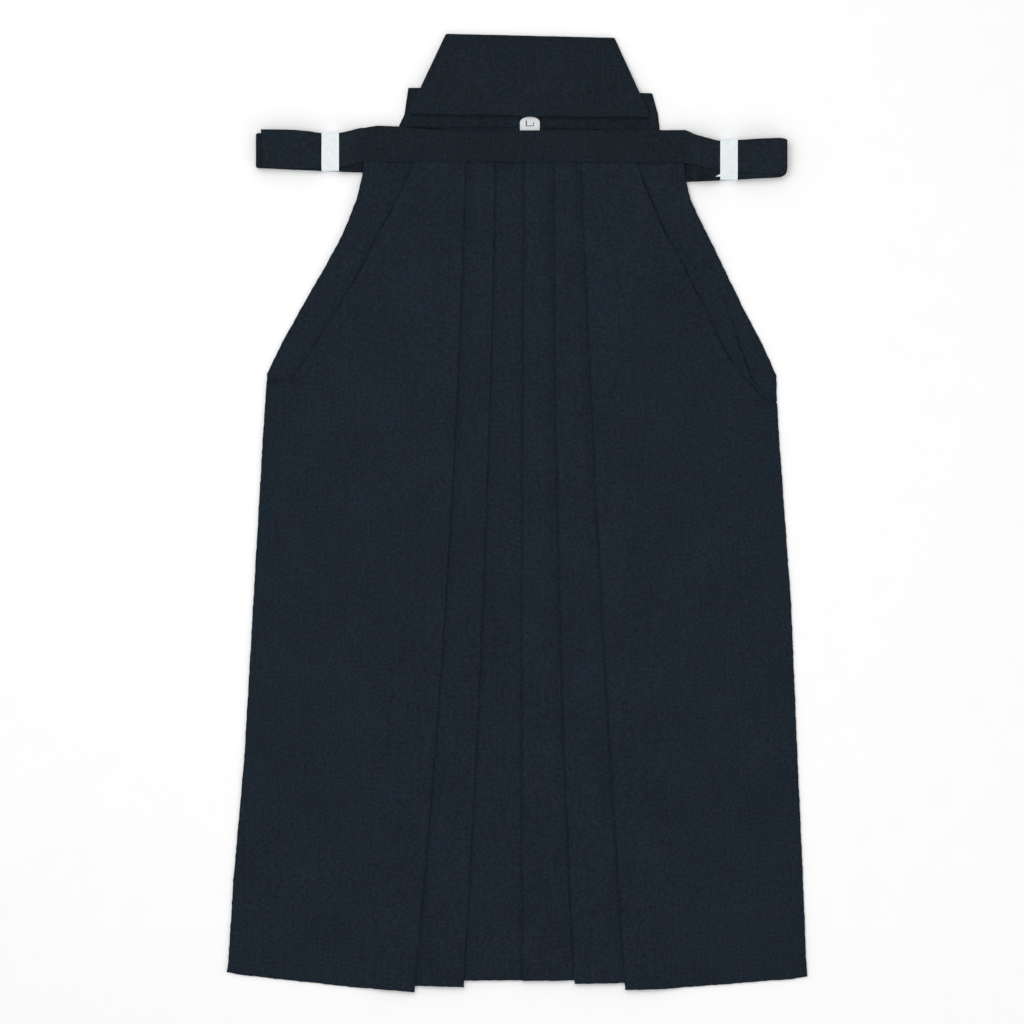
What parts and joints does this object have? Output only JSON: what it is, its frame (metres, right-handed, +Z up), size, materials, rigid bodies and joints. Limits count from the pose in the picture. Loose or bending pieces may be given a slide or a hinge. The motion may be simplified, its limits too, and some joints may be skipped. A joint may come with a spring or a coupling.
{
  "type": "hakama trousers laid flat",
  "caption": "Pleated divided trousers laid flat, front up, with a stiff back board, folded ties held by white bands, and a small spatula.",
  "frame": {"origin": "middle of the bounding box, on the surface the garment lies on", "axes": "+X to the wearer's left across the garment, +Y from the hem to the waist, +Z up, out of the garment's front"},
  "size_m": [0.647, 1.0672, 0.0169],
  "materials": {
    "cloth": "matt dark navy twill",
    "band": "smooth white paper",
    "spatula": "satin white plastic"
  },
  "bodies": {
    "root": {"front_right_leg": "cloth", "front_left_leg": "cloth", "back_right_leg": "cloth", "back_left_leg": "cloth", "gusset": "cloth", "front_waistband": "cloth", "front_tie_right": "cloth", "front_tie_left": "cloth", "tie_band_right": "band", "tie_band_left": "band", "back_board": "cloth", "back_tie_right": "cloth", "back_tie_left": "cloth", "spatula": "spatula"}
  },
  "joints": []
}
